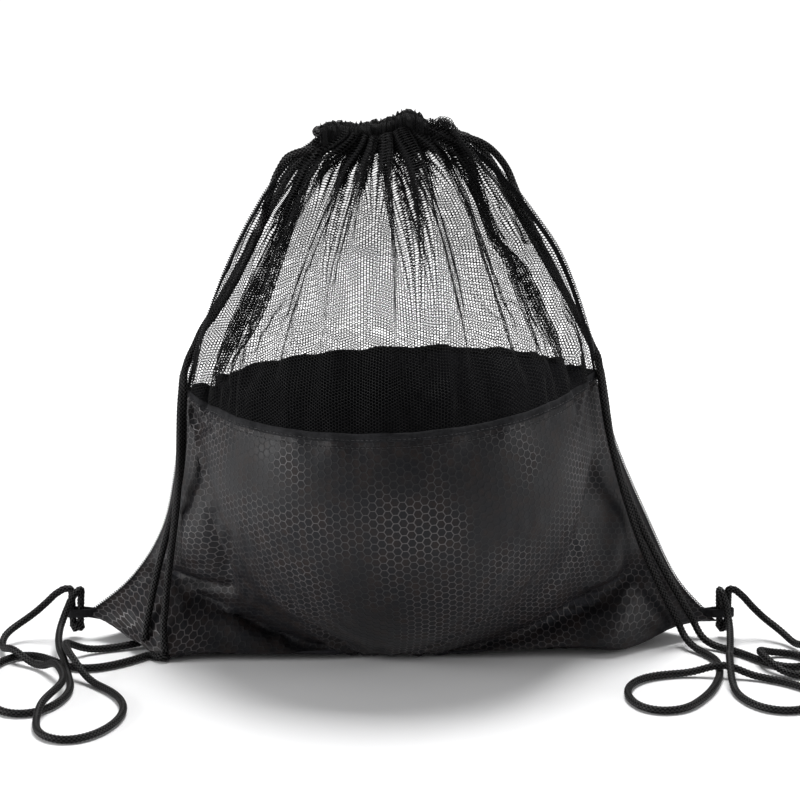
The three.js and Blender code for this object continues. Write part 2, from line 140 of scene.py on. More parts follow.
class Parts:
    """Gathers grids and rings of faces, of any corner count, into one mesh."""

    def __init__(self):
        self.points, self.faces, self.slots = [], [], []
        self.count = 0

    def add_points(self, points):
        points = np.asarray(points, float).reshape(-1, 3)
        self.points.append(points)
        self.count += len(points)
        return self.count - len(points)

    def add_faces(self, faces, slot=0):
        self.faces.append(np.asarray(faces))
        self.slots.append(np.full(len(faces), slot))

    def add_rings(self, rings, step=1, slot=0, capped=True):
        """A tube through rings of points; a step of -1 turns its faces over."""
        index = self.add_points(rings) + np.arange(rings[..., 0].size).reshape(rings.shape[:2])
        self.add_faces(quads(np.hstack([index, index[:, :1]]))[:, ::step], slot)
        if capped:
            self.add_faces(index[:1, ::-step])
            self.add_faces(index[-1:, ::step])

    def build(self, name, materials):
        """The mesh as an object; its triangles are flat faces, and the rest are smooth."""
        points = np.vstack(self.points).astype(np.float32)
        sizes = np.concatenate([np.full(len(f), f.shape[1]) for f in self.faces]).astype(np.int32)
        loops = np.concatenate([f.ravel() for f in self.faces]).astype(np.int32)
        slots = np.concatenate(self.slots).astype(np.int32)
        starts = (np.cumsum(sizes) - sizes).astype(np.int32)
        mesh = bpy.data.meshes.new(name)
        fields = (
            (mesh.vertices, {"co": points}),
            (mesh.loops, {"vertex_index": loops}),
            (mesh.polygons, {"loop_start": starts, "loop_total": sizes, "material_index": slots}),
            (mesh.polygons, {"use_smooth": sizes != 3}),
        )
        for target, values in fields:
            for key, value in values.items():
                if not target:
                    target.add(len(value))
                target.foreach_set(key, value.ravel())
        mesh.update(calc_edges=True)
        for material in materials:
            mesh.materials.append(material)
        obj = bpy.data.objects.new(name, mesh)
        bpy.context.scene.collection.objects.link(obj)
        return obj


def frames_along(line):
    """Two directions across a line at each of its points, with no twist."""
    tangent = unit(np.gradient(line, axis=0))
    side = [unit(np.cross(tangent[0], [0.13, 0.21, 0.97]))]
    for t in tangent[1:]:
        s = side[-1] - t * side[-1].dot(t)
        side.append(s / np.linalg.norm(s))
    side = np.array(side)
    return side, np.cross(tangent, side)


def add_tube(parts, line, radius, sides, relief=None):
    """A tube along a line; relief(i, j) is added to the radius at ring i, corner j.

    Faces that sink below the radius go to the second material, which paints shade into the hollows.
    """
    side, other = frames_along(line)
    turn = np.arange(sides) * FULL_TURN / sides
    r = np.full((len(line), sides), radius)
    sunk = 0
    if relief:
        i, j = np.indices(r.shape)
        r = r + relief(i, j)
        sunk = (relief(i[:-1] + 0.5, j[:-1] + 0.5) < 0).astype(int).ravel()
    ring = side[:, None] * np.cos(turn)[None, :, None] + other[:, None] * np.sin(turn)[None, :, None]
    parts.add_rings(line[:, None] + ring * r[..., None], slot=sunk)


# ------ the taut skin
NECK_RISE = NECK[2] - BALL_CENTRE[2]
LEAVE_ANGLE = math.pi - math.acos((SKIN_RADIUS - NECK_RADIUS) / NECK_RISE)
LEAVE_PATH = SKIN_RADIUS * LEAVE_ANGLE
NECK_PATH = LEAVE_PATH + math.sqrt(NECK_RISE**2 - (SKIN_RADIUS - NECK_RADIUS) ** 2)
EDGE_SAMPLES = 200
EDGE_TABLE = {
    side: {part: catmull(np.array(points) * MM, EDGE_SAMPLES) for part, points in parts.items()}
    for side, parts in EDGES.items()
}


def edge_point(side, path):
    """The side seam's point at a height on the cloth."""
    if path <= HEM_PATH:
        line, share = EDGE_TABLE[side]["lower"], path / HEM_PATH
    else:
        line, share = EDGE_TABLE[side]["upper"], (path - HEM_PATH) / (NECK_PATH - HEM_PATH)
    x, z = (np.interp(share * (EDGE_SAMPLES - 1), np.arange(EDGE_SAMPLES), column) for column in line.T)
    return np.array([x, 0.0, z])


def taut_row(path, shares):
    """A tight thread over the former from side edge to side edge, and its length."""
    left, right = edge_point("left", path), edge_point("right", path)
    k = max(0.0, (path - LEAVE_PATH) / (NECK_PATH - LEAVE_PATH))
    centre = BALL_CENTRE + (NECK - BALL_CENTRE) * k
    radius = SKIN_RADIUS + (NECK_RADIUS - SKIN_RADIUS) * k
    angle = min(path / SKIN_RADIUS, LEAVE_ANGLE)
    touch = centre + radius * np.array([0, -math.sin(angle), -math.cos(angle)])
    along = right - left
    span = np.linalg.norm(along)
    along = along / span
    out = touch - left
    out = out - along * out.dot(along)
    out = out / np.linalg.norm(out)
    to_centre = centre - left
    across = np.cross(along, out)
    bend = math.sqrt(max(radius**2 - to_centre.dot(across) ** 2, 1e-10))
    middle, height = to_centre.dot(along), to_centre.dot(out)

    def straight(distance):
        """Angle and length of the thread's straight part, up to where it touches the former."""
        reach = max(math.hypot(distance, height), bend * 1.0001)
        return math.atan2(height, distance) + math.asin(bend / reach), math.sqrt(reach**2 - bend**2)

    rise, start = straight(middle)
    fall, end = straight(span - middle)
    total = start + bend * max(0.0, rise + fall) + end
    s = shares * total
    turn = math.pi / 2 + rise - (s - start) / bend
    u = middle + bend * np.cos(turn)
    w = height + bend * np.sin(turn)
    first = s < start
    last = s > total - end
    u = np.where(first, s * math.cos(rise), np.where(last, span - (total - s) * math.cos(fall), u))
    w = np.where(first, s * math.sin(rise), np.where(last, (total - s) * math.sin(fall), w))
    return left + np.outer(u, along) + np.outer(w, out), total


# ------ pleats
MEANDER_TURNS = np.linspace(0, 2.3, 240)
MEANDER_PHASES = np.linspace(0, FULL_TURN, 200, endpoint=False)
MEANDER_CHORDS = np.cos(MEANDER_TURNS[:, None] * np.sin(MEANDER_PHASES)).mean(axis=1)  # for an arc of 1
FOLD_SAMPLES = 2000
PLEATS = 11
WIDEST_ROW = 0.995  # width over cloth
MIDDLE_RATIO = 0.97  # width over cloth in the middle, which stays nearly flat
SIDE_RATIO = 0.12  # the least at the sides, which take up the rest of the cloth
FLAT_PART = (0.22, 0.38)  # distance from the middle, as a share of the width, where the flat part ends
WANDER = (1.1, 2.3, 0.7)  # size, waves and start of what keeps the pleats from being even
LEAN = 0.75  # how far a pleat lies over


def pleated_row(path, columns):
    """Positions of the cloth's columns at a height, folded so that the full width fits the taut row."""
    u = np.linspace(0, 1, columns)
    _, total = taut_row(path, np.array([0.0, 1.0]))
    ratio = min(total / PANEL_WIDTH, WIDEST_ROW)
    middle = ratio + (MIDDLE_RATIO - ratio) * 0.75 * ease(ratio, 0.18, 0.55)
    weight = 1 - ease(np.abs(u - 0.5), *FLAT_PART)
    side = (ratio - middle * weight.mean()) / (1 - weight.mean())
    side = max(side, SIDE_RATIO)
    local = middle * weight + side * (1 - weight)
    base = np.concatenate([[0], np.cumsum((local[1:] + local[:-1]) / 2)])
    base = base / base[-1]
    points, _ = taut_row(path, base)
    fine_u = np.linspace(0, 1, FOLD_SAMPLES)
    chord = np.clip(np.interp(fine_u, u, local), 0.05, 1.0)
    swing = np.interp(-chord, -MEANDER_CHORDS, MEANDER_TURNS)
    swing = swing * ease(path, HEM_PATH - 30 * MM, HEM_PATH + 25 * MM)
    size, waves, start = WANDER
    phase = FULL_TURN * PLEATS * fine_u + size * np.sin(FULL_TURN * waves * fine_u + start)
    turn = swing * np.sin(phase)
    step = PANEL_WIDTH / FOLD_SAMPLES
    tangent = np.cumsum(np.cos(turn) - np.interp(fine_u, u, local)) * step
    normal = np.cumsum(np.sin(turn)) * step
    tangent -= np.linspace(tangent[0], tangent[-1], FOLD_SAMPLES)
    normal -= np.linspace(normal[0], normal[-1], FOLD_SAMPLES)
    fade = ease(np.minimum(fine_u, 1 - fine_u), 0, 0.02)
    t = np.interp(u, fine_u, tangent * fade)
    n = np.interp(u, fine_u, normal * fade)
    along = unit(np.gradient(points, axis=0))
    nearby = 0.5 * MM
    up = taut_row(min(path + nearby, NECK_PATH), base)[0] - taut_row(max(path - nearby, 0), base)[0]
    normals = unit(np.cross(along, up))
    lean = LEAN * ease(path, HEM_PATH + 20 * MM, NECK_PATH - 30 * MM)
    return points + along * (t + lean * n)[:, None] + normals * (n * (1 - 0.5 * lean))[:, None]


# ------ cloth simulation
GRID = 6.25 * MM
COLUMNS = int(round(PANEL_WIDTH / GRID)) + 1
ROWS = int(round(NECK_PATH / GRID)) + 1
START_HEIGHT = 0.8 * MM
REST_FORWARD = 52 * MM  # how far in front of the bottom seam the loose cloth meets the ground
REST_HEIGHT = 95 * MM
SIMULATED_FRAMES = 46
CLOTH = {
    "quality": 9, "mass": 0.15, "air_damping": 2.0, "pin_stiffness": 8, "vertex_group_mass": "pins",
    "tension_stiffness": 25, "compression_stiffness": 25, "shear_stiffness": 4, "bending_stiffness": 0.25,
    "tension_damping": 12, "compression_damping": 12, "shear_damping": 6, "bending_damping": 1,
}
CONTACT = {"collision_quality": 3, "distance_min": 0.8 * MM, "use_self_collision": False}
BALL_CONTACT, GROUND_CONTACT = (0.8 * MM, 6), (0.6 * MM, 20)  # thickness and friction
BALL_SEGMENTS, BALL_RINGS = 96, 48
GROUND_SIZE = 2
HELD_ROWS = 2  # of points at the mouth
SEAM_HOLD, HEM_HOLD, GROUND_HOLD = 0.03, 0.45, 0.3  # how firmly the side seams, the hem and the rest are held
GROUND_SHARE = 0.2  # columns with a smaller share in the loose cloth aren't held on the ground


def assign(target, values):
    for key, value in values.items():
        setattr(target, key, value)


def rest_share():
    """How much of each column takes part in the loose cloth at the bottom."""
    u = np.linspace(0, 1, COLUMNS)
    return ease(u, 0.0, 0.1) * (1 - 0.25 * u) * (1 - ease(u, 0.86, 1.0))


def rest_on_ground(front, heights):
    """The lowest cloth lies forward on the ground, then turns up."""
    forward = rest_share()[None]
    share = np.clip(heights[:, None] / REST_HEIGHT, 0, 1)
    push = np.sin(math.pi * np.clip(share * 1.2, 0, 1) ** 0.8) ** 0.8 * forward
    flat = (1 - ease(share, 0.2, 0.85)) * forward
    out = front.copy()
    out[:, :, 1] = np.minimum(front[:, :, 1], -REST_FORWARD * push)
    out[:, :, 2] = front[:, :, 2] * (1 - 0.9 * flat)
    return out


def start_shape():
    """The front sheet, row by row, before it settles."""
    heights = np.linspace(0, NECK_PATH, ROWS)
    front = np.stack([pleated_row(h, COLUMNS) for h in heights])
    inset = ease(np.minimum(np.arange(COLUMNS), np.arange(COLUMNS)[::-1]), 0, 3)
    front[:, :, 1] = np.minimum(front[:, :, 1], 0) - EDGE_HALF * inset[None, :]
    front = rest_on_ground(front, heights)
    front[:, :, 2] = np.maximum(front[:, :, 2], START_HEIGHT)
    return front


def bag_topology():
    """Vertex numbers of the front and back sheets, sewn together at the sides and the bottom."""
    front = np.arange(ROWS * COLUMNS).reshape(ROWS, COLUMNS)
    back = np.full((ROWS, COLUMNS), -1)
    back[0] = front[0]
    back[:, [0, -1]] = front[:, [0, -1]]
    free = back < 0
    back[free] = front.size + np.arange(free.sum())
    return front, back, free


def pin_weights(front_index, back_index, flat_v):
    """How firmly each point is held: fully at the mouth, and less at the seams and on the ground."""
    weights = np.zeros(back_index.max() + 1)
    for index in (front_index, back_index):
        weights[index[-HELD_ROWS:]] = 1
    held = SEAM_HOLD + HEM_HOLD * ease(flat_v, HEM_PATH - 50 * MM, HEM_PATH + 20 * MM)
    for column in (0, -1):
        side = front_index[:, column]
        weights[side] = np.maximum(weights[side], held)
        weights[side[0]] = 1
    on_ground = ease(flat_v, 25 * MM, 45 * MM) * (1 - ease(flat_v, 50 * MM, 75 * MM))
    held = GROUND_HOLD * on_ground[:, None] * (rest_share() > GROUND_SHARE)[None]
    for index in (front_index, back_index):
        np.maximum.at(weights, index.ravel(), held.ravel())
    return np.round(weights, 3)


def collider(thickness, friction):
    """Makes the newest object something that cloth rests on."""
    obj = bpy.context.object
    obj.modifiers.new("Collision", "COLLISION")
    assign(obj.collision, {"thickness_outer": thickness, "cloth_friction": friction, "use_culling": False})
    return obj


def simulate_bag():
    """Both sheets after the cloth has settled over the ball and on the ground."""
    front_index, back_index, free = bag_topology()
    front = start_shape()
    back = front * MIRRORED
    parts = Parts()
    parts.add_points(np.vstack([front.reshape(-1, 3), back[free]]))
    parts.add_faces(quads(front_index))
    parts.add_faces(quads(back_index)[:, [0, 3, 2, 1]])
    bag = parts.build("drape", [])

    flat_u, flat_v = np.linspace(0, PANEL_WIDTH, COLUMNS), np.linspace(0, NECK_PATH, ROWS)
    flat = np.zeros((ROWS, COLUMNS, 3))
    flat[..., 0], flat[..., 2] = np.meshgrid(flat_u, flat_v)
    rest = np.vstack([flat.reshape(-1, 3), flat[free]])
    bag.shape_key_add(name="Basis")
    key = bag.shape_key_add(name="flat")
    key.data.foreach_set("co", rest.astype(np.float32).ravel())
    key.value = 0.0

    pins = bag.vertex_groups.new(name="pins")
    weights = pin_weights(front_index, back_index, flat_v)
    for value in np.unique(weights[weights > 0]):
        pins.add([int(i) for i in np.flatnonzero(weights == value)], float(value), "REPLACE")

    size = {"segments": BALL_SEGMENTS, "ring_count": BALL_RINGS, "radius": BALL_RADIUS}
    bpy.ops.mesh.primitive_uv_sphere_add(location=BALL_CENTRE, **size)
    ball = collider(*BALL_CONTACT)
    bpy.ops.mesh.primitive_plane_add(size=GROUND_SIZE)
    ground = collider(*GROUND_CONTACT)

    cloth = bag.modifiers.new("Cloth", "CLOTH")
    assign(cloth.settings, {**CLOTH, "rest_shape_key": key})
    assign(cloth.collision_settings, CONTACT)
    scene = bpy.context.scene
    for clock in (cloth.point_cache, scene):
        assign(clock, {"frame_start": 1, "frame_end": SIMULATED_FRAMES})
    for number in range(1, SIMULATED_FRAMES + 1):
        scene.frame_set(number)
    settled = bag.evaluated_get(bpy.context.evaluated_depsgraph_get())
    result = np.empty(len(rest) * 3, np.float32)
    settled.data.vertices.foreach_get("co", result)
    result = result.reshape(-1, 3).astype(float)
    scene.frame_set(1)
    for obj in (bag, ball, ground):
        bpy.data.objects.remove(obj)
    return result[front_index], result[back_index]


front_sheet, back_sheet = simulate_bag()


# ------ reading a draped sheet
FINER = 4

# Folds that set in the lower half's stiff cloth: from (u, v) to (u, v), width and height, in millimetres.
FRONT_FOLDS = [
    ((4, 232), (46, 186), 2.6, 4.2),
    ((46, 186), (80, 118), 4.0, 4.2),
    ((20, 205), (50, 150), 7.0, -6.0),
    ((50, 150), (68, 94), 6.5, -6.5),
    ((24, 150), (38, 88), 16.0, 10.0),
    ((14, 74), (66, 88), 6.0, -6.0),
    ((60, 62), (110, 46), 8.0, 5.0),
    ((110, 88), (180, 60), 14.0, -3.5),
    ((380, 178), (318, 112), 9.0, -6.0),
    ((386, 140), (352, 70), 12.0, 6.5),
    ((340, 150), (300, 70), 16.0, 4.0),
    ((300, 60), (380, 74), 7.0, -5.0),
    ((372, 60), (330, 34), 6.0, 4.0),
]
BACK_FOLDS = [
    ((8, 226), (70, 140), 5.0, 3.5),
    ((26, 150), (44, 70), 15.0, 5.5),
    ((392, 220), (330, 140), 5.0, 3.0),
    ((372, 130), (350, 60), 14.0, 5.0),
    ((120, 70), (180, 44), 8.0, 2.5),
]
SMALL_CREASES = 46
LOWEST_CLOTH = 0.9 * MM  # the outside of the cloth where it rests on the ground


def small_creases(seed):
    """Slight creases, given like the folds, near the bottom and the corners, where the cloth bunches."""
    random = np.random.default_rng(seed)
    creases = []
    for _ in range(SMALL_CREASES):
        u = random.choice([random.uniform(10, 110), random.uniform(290, 390), random.uniform(60, 340)])
        v = random.uniform(12, 190 if abs(u - 200) > 110 else 60)
        turn = random.uniform(-1.1, 1.1) + (1.1 if u < 200 else -1.1)
        reach = random.uniform(9, 26)
        end = (u + reach * math.cos(turn), v + reach * math.sin(turn))
        creases.append(((u, v), end, random.uniform(1.8, 4.0), random.uniform(-1.0, 1.1)))
    return creases


class Sheet:
    """A draped cloth, read at u across it and v up it, both in metres of flat cloth."""

    def __init__(self, grid, outward, folds):
        for axis in (0, 1):
            grid = np.moveaxis(finer(np.moveaxis(grid, axis, 0), FINER), 0, axis)
        self.points = grid
        self.step = outward  # 1, or -1 where faces have to be turned over to look outwards
        self.face()
        off_ground = ease(self.points[..., 2], 3 * MM, 14 * MM)
        self.points += self.normals * (self.fold_heights(folds) * off_ground)[..., None]
        self.points[..., 2] = np.maximum(self.points[..., 2], LOWEST_CLOTH)
        self.face()

    def face(self):
        across = np.gradient(self.points, axis=1)
        up = np.gradient(self.points, axis=0)
        self.normals = unit(np.cross(across, up) * self.step)

    def fold_heights(self, folds):
        """The folds' height at each point; it fades out at the hem and the sewn edges."""
        rows, columns = self.points.shape[:2]
        u, v = np.meshgrid(np.linspace(0, PANEL_WIDTH, columns), np.linspace(0, NECK_PATH, rows))
        height = np.zeros((rows, columns))
        for start, end, width, top in folds:
            a, b = np.array(start) * MM, np.array(end) * MM
            along = np.clip(((u - a[0]) * (b - a)[0] + (v - a[1]) * (b - a)[1]) / ((b - a) @ (b - a)), 0, 1)
            away = np.hypot(u - a[0] - along * (b - a)[0], v - a[1] - along * (b - a)[1])
            height += top * MM * np.exp(-((away / (width * MM)) ** 2)) * (0.5 + 2 * along * (1 - along))
        edge = ease(np.minimum(u, PANEL_WIDTH - u), 0, 9 * MM)
        return height * edge * ease(v, 0, 14 * MM) * (1 - ease(v, HEM_PATH - 12 * MM, HEM_PATH))

    def read(self, table, u, v):
        """A table of the sheet between its points."""
        rows, columns = table.shape[:2]
        x = np.clip(u / PANEL_WIDTH, 0, 1) * (columns - 1)
        y = np.clip(v / NECK_PATH, 0, 1) * (rows - 1)
        j = np.minimum(x.astype(int), columns - 2)
        i = np.minimum(y.astype(int), rows - 2)
        fx, fy = (x - j)[..., None], (y - i)[..., None]
        low = table[i, j] * (1 - fx) + table[i, j + 1] * fx
        high = table[i + 1, j] * (1 - fx) + table[i + 1, j + 1] * fx
        return low * (1 - fy) + high * fy

    def at(self, u, v, lift=0.0):
        """Points lifted outwards from the cloth."""
        u, v, lift = np.broadcast_arrays(*(np.asarray(t, float) for t in (u, v, lift)))
        normal = unit(self.read(self.normals, u, v))
        return self.read(self.points, u, v) + normal * lift[..., None]


front = Sheet(front_sheet, 1, FRONT_FOLDS + small_creases(5))
back = Sheet(back_sheet, -1, BACK_FOLDS + small_creases(8))
SHEETS = {"front": front, "back": back}


# ------ materials
def fill(inputs, values):
    for key, value in values.items():
        inputs[key].default_value = value


class Look:
    """A short way to write a material's nodes."""

    def __init__(self, name, colour, roughness, specular):
        self.material = bpy.data.materials.new(name)
        self.material.use_nodes = True
        self.links = self.material.node_tree.links
        self.surface = self.material.node_tree.nodes["Principled BSDF"].inputs
        base = {"Base Color": (*colour, 1), "Roughness": roughness, "Specular IOR Level": specular}
        fill(self.surface, base)
        self.place = self.add("TexCoord", {}, {}).outputs["Object"]

    def add(self, kind, sources, values):
        """A node with outputs of other nodes linked to it, and values for the rest."""
        node = self.material.node_tree.nodes.new("ShaderNode" + kind)
        fill(node.inputs, values)
        for key, source in sources.items():
            self.links.new(source, node.inputs[key])
        return node

    def noise(self, scale, detail):
        return self.add("TexNoise", {"Vector": self.place}, {"Scale": scale, "Detail": detail}).outputs["Fac"]

    def ramp(self, value, stops):
        node = self.add("ValToRGB", {"Fac": value}, {})
        elements = node.color_ramp.elements
        for k, (place, colour) in enumerate(stops):
            element = elements[k] if k < 2 else elements.new(place)
            element.position = place
            element.color = (*colour, 1)
        return node.outputs["Color"]

    def spread(self, value, ends, low, high):
        """A value between two ends, spread over low to high."""
        limits = {"From Min": ends[0], "From Max": ends[1], "To Min": low, "To Max": high}
        return self.add("MapRange", {"Value": value}, limits)

    def set(self, key, output):
        self.links.new(output, self.surface[key])


NOISE_ENDS = (0.3, 0.7)  # nearly all of a noise lies between these


def material(name, colour, roughness, specular, tones=None, sheen=None, grain=None):
    """A material; each of its noises starts with a scale and a detail, and varies one property."""
    look = Look(name, colour, roughness, specular)
    if tones:
        look.set("Base Color", look.ramp(look.noise(*tones[:2]), tones[2:]))
    if sheen:
        look.set("Roughness", look.spread(look.noise(*sheen[:2]), NOISE_ENDS, *sheen[2:]).outputs["Result"])
    if grain:
        scale, detail, strength, distance = grain
        depth = {"Strength": strength, "Distance": distance}
        look.set("Normal", look.add("Bump", {"Height": look.noise(scale, detail)}, depth).outputs["Normal"])
    return look.material


CELL = material(  # the sunk faces of the honeycomb: charcoal with a faint brown and violet cast
    "coated_cell", (0.012, 0.012, 0.013), 0.5, 0.2,
    tones=(
        120, 3,
        (0.35, (0.008, 0.0083, 0.0105)), (0.68, (0.017, 0.0122, 0.0115)), (0.5, (0.0105, 0.0095, 0.011)),
    ),
    sheen=(60, 3, 0.42, 0.6), grain=(2600, 2, 0.35, 0.00012),
)
LINE = material(  # its raised lines: darker than the cells, but pale and shinier in patches, where the pale colour is painted sheen that stands in for light caught on the lines
    "coated_line", (0.03, 0.03, 0.03), 0.35, 0.45,
    tones=(15, 2.5, (0.45, (0.0045, 0.0045, 0.0055)), (0.64, (0.066, 0.06, 0.062))),
    sheen=(15, 2.5, 0.85, 0.3), grain=(3000, 2, 0.25, 0.0001),
)
LINING = material(  # the uncoated inside of the cloth
    "coated_lining", (0.02, 0.02, 0.022), 0.85, 0.1,
    tones=(700, 2, (0.3, (0.018, 0.018, 0.021)), (0.7, (0.036, 0.036, 0.041))), grain=(2200, 1, 0.6, 0.0002),
)
NET = material("net_yarn", (0.005, 0.005, 0.0055), 0.62, 0.16, sheen=(400, 3, 0.5, 0.75))
BINDING = material(
    "binding_cloth", (0.012, 0.012, 0.014), 0.8, 0.15,
    tones=(500, 3, (0.3, (0.008, 0.008, 0.009)), (0.7, (0.018, 0.018, 0.02))),
    sheen=(200, 3, 0.7, 0.9), grain=(2600, 2, 0.4, 0.00015),
)
CORD = material(  # a soft sheen on the plaits
    "cord_braid", (0.014, 0.0135, 0.014), 0.5, 0.3,
    tones=(350, 3, (0.3, (0.009, 0.0088, 0.0092)), (0.7, (0.022, 0.0205, 0.0208))),
    sheen=(240, 3, 0.4, 0.6), grain=(3500, 2, 0.5, 0.0002),
)
# painted shade: a near-black, dull colour for the hollows between the plaits, standing in for the shade that
# falls there
PAINTED_SHADE_BETWEEN_PLAITS = material("painted_shade_between_plaits", (0.002, 0.002, 0.0022), 0.9, 0.03, sheen=(240, 3, 0.8, 0.95))
THREAD = material(
    "sewing_thread", (0.02, 0.02, 0.022), 0.5, 0.5, sheen=(900, 3, 0.38, 0.6), grain=(5000, 1, 0.4, 0.0001)
)


# ------ honeycombs
HEX_PITCH = 5.2 * MM
HEX_LINE = 0.6 * MM
EMBOSS = 0.16 * MM
EDGE_DROP = 0.1  # of a raised line's sides, as a share of the emboss
FLOOR_INSET = 0.08  # between a line's sides and the flat floor, as a share of the cell
CLOTH_THICKNESS = 0.5 * MM
SEW_MARGIN = 0.4 * MM  # cloth taken up in the side seam
LINING_COLUMNS, LINING_ROWS = 129, 76
SAME_PLACE = 0.02 * MM
NET_PITCH = 2.1 * MM
NET_STRAND = 0.5 * MM
NET_TALLNESS = 0.9
YARN_FLATNESS = 0.36  # half a strand's depth over its width


def hex_cells(width, low, high, pitch, tallness=1.0):
    """Centres of the flat-topped cells that fill a strip of cloth, and one cell's six corners."""
    step = pitch * math.sqrt(3) / 2
    columns = int(width / step)
    rise = pitch * tallness
    rows = max(1, int((high - low) / rise))
    j, i = np.meshgrid(np.arange(columns + 1), np.arange(rows + 1))
    u = (width - columns * step) / 2 + j * step
    v = low + (high - low - rows * rise) / 2 + i * rise + np.where(j % 2 == 1, rise / 2, 0)
    turn = np.arange(6) * math.pi / 3
    corner = pitch / math.sqrt(3) * np.stack([np.cos(turn), np.sin(turn) * tallness], axis=1)
    return np.stack([u.ravel(), v.ravel()], axis=1), corner


def share_corners(points, tolerance):
    """Each place once, and for every point the number of its place."""
    keys = np.round(points / tolerance).astype(np.int64)
    _, first, index = np.unique(keys, axis=0, return_index=True, return_inverse=True)
    return points[first], index.reshape(-1)


def cell_loops(centres, corner, limits, sizes):
    """The corners of every cell at its full size, each place once, with their numbers, and at other sizes."""
    loops = [np.clip((centres[:, None] + corner * size).reshape(-1, 2), *limits) for size in (1.0, *sizes)]
    rim, index = share_corners(loops[0], SAME_PLACE)
    return rim, index.reshape(-1, 6), *loops[1:]


def hex_ring(inner, outer):
    ahead = [np.roll(ring, -1, axis=1) for ring in (outer, inner)]
    return np.stack([outer, *ahead, inner], axis=2).reshape(-1, 4)


def honeycomb_panel(name, sheet, low, high):
    """Coated cloth with a raised line round each sunk cell, and a plain inside."""
    parts = Parts()
    centres, corner = hex_cells(PANEL_WIDTH, low, high, HEX_PITCH)
    limits = (np.array([SEW_MARGIN, low]), np.array([PANEL_WIDTH - SEW_MARGIN, high]))
    scale = 1 - HEX_LINE / HEX_PITCH
    rim, rim_index, sides, bottom = cell_loops(centres, corner, limits, (scale, scale - FLOOR_INSET))
    n = len(centres)
    places = np.vstack([rim, sides, bottom, np.clip(centres, *limits)])
    lifts = np.repeat([0.0, -EDGE_DROP, -1.0, -1.0], [len(rim), 6 * n, 6 * n, n])
    parts.add_points(sheet.at(places[:, 0], places[:, 1], lifts * EMBOSS))
    edge = len(rim) + np.arange(6 * n).reshape(n, 6)
    floor = edge + 6 * n
    middle = len(rim) + 12 * n + np.arange(n)
    fan = np.stack([floor, np.roll(floor, -1, axis=1), np.repeat(middle[:, None], 6, axis=1)], axis=2)
    parts.add_faces(hex_ring(edge, rim_index)[:, :: sheet.step], 0)
    parts.add_faces(hex_ring(floor, edge)[:, :: sheet.step], 1)
    parts.add_faces(fan.reshape(-1, 3)[:, :: sheet.step], 1)

    u = np.linspace(SEW_MARGIN, PANEL_WIDTH - SEW_MARGIN, LINING_COLUMNS)
    u, v = np.meshgrid(u, np.linspace(low, high, LINING_ROWS))
    start = parts.add_points(sheet.at(u, v, -CLOTH_THICKNESS))
    inside = quads(start + np.arange(u.size).reshape(u.shape))
    parts.add_faces(inside[:, :: -sheet.step], 2)
    return parts.build(name, [LINE, CELL, LINING])


def lattice(place, width, low, high, pitch, strand, tallness=1.0, span=(0, math.inf)):
    """Net of closed strands round holes, placed by place(u, v, lift), and the strands' u and v."""
    parts = Parts()
    centres, corner = hex_cells(width, low, high, pitch, tallness)
    slip = pitch * math.sqrt(3) / 2 * 0.01
    centres = centres[(centres[:, 0] >= span[0] - slip) & (centres[:, 0] < span[1] - slip)]
    limits = (np.array([0, low]), np.array([width, high]))
    rim, front, hole = cell_loops(centres, corner, limits, (1 - strand / pitch,))
    n = len(centres)
    places = np.vstack([rim, rim, hole])
    lifts = strand * YARN_FLATNESS * np.repeat([1, -1, 0], [len(rim), len(rim), 6 * n])
    parts.add_points(place(places[:, 0], places[:, 1], lifts))
    edge = 2 * len(rim) + np.arange(6 * n).reshape(n, 6)
    parts.add_faces(hex_ring(edge, front))
    parts.add_faces(hex_ring(edge, front + len(rim))[:, ::-1])
    return parts, places


# ------ lower half and hem
HEM_OUTLINE = [  # across the folded hem, in millimetres above the join and out from the cloth
    (-0.6, -0.2), (-0.7, 0.5), (-0.3, 1.0), (0.4, 0.95), (0.7, 0.7), (1.0, 0.95),
    (2.6, 1.1), (3.8, 0.95), (4.4, 0.5), (4.3, -0.2), (3.4, -0.6), (0.4, -0.6),
]
HEM_RIBS = 720
RIB = 0.05 * MM
PUCKER = 0.12 * MM
PUCKER_LENGTH = 9 * MM
STITCH_PITCH = 3.2 * MM
STITCH_LENGTH = 2.5 * MM
STITCH_RADIUS = 0.2 * MM
STITCH_LINES = {"hem": (-4 * MM, 0.0), "band": (0.6 * MM, 0.75 * MM)}  # from the join, and out of the cloth
STITCH_DIP = np.array([-0.25, 0.12, 0.22, 0.22, 0.12, -0.25]) * MM


def join_band(name, sheet):
    """The folded hem: a rolled band with a crease, ribbed like woven tape."""
    along, out = np.array(HEM_OUTLINE).T * MM
    u = np.linspace(0, PANEL_WIDTH, HEM_RIBS)[:, None]
    rib = RIB * np.cos(np.arange(HEM_RIBS) * math.pi)[:, None] * np.sign(out)[None]
    pucker = PUCKER * np.sin(u * FULL_TURN / PUCKER_LENGTH)
    parts = Parts()
    parts.add_rings(sheet.at(u, HEM_PATH + along[None], out[None] + rib + pucker), -sheet.step, capped=False)
    return parts.build(name, [BINDING])


def stitch_line(name, sheet, v, lift):
    """One raised stitch after another, each dipping into the cloth at both ends."""
    parts = Parts()
    count = len(STITCH_DIP)
    share = np.linspace(-0.5, 0.5, count)
    for centre in np.arange(STITCH_PITCH, PANEL_WIDTH - STITCH_PITCH / 2, STITCH_PITCH):
        line = sheet.at(centre + share * STITCH_LENGTH, np.full(count, v), STITCH_DIP + lift)
        add_tube(parts, line, STITCH_RADIUS, 6)
    return parts.build(name, [THREAD])


def keep(obj, body, slot, *nodes):
    """Puts a finished piece on its body, in place of the CAD nodes that it stands for."""
    if body:
        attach(obj, body)
    if nodes:
        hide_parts(*nodes)


def blend_by(obj):
    """Bakes the object's placement into its points."""
    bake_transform(obj)


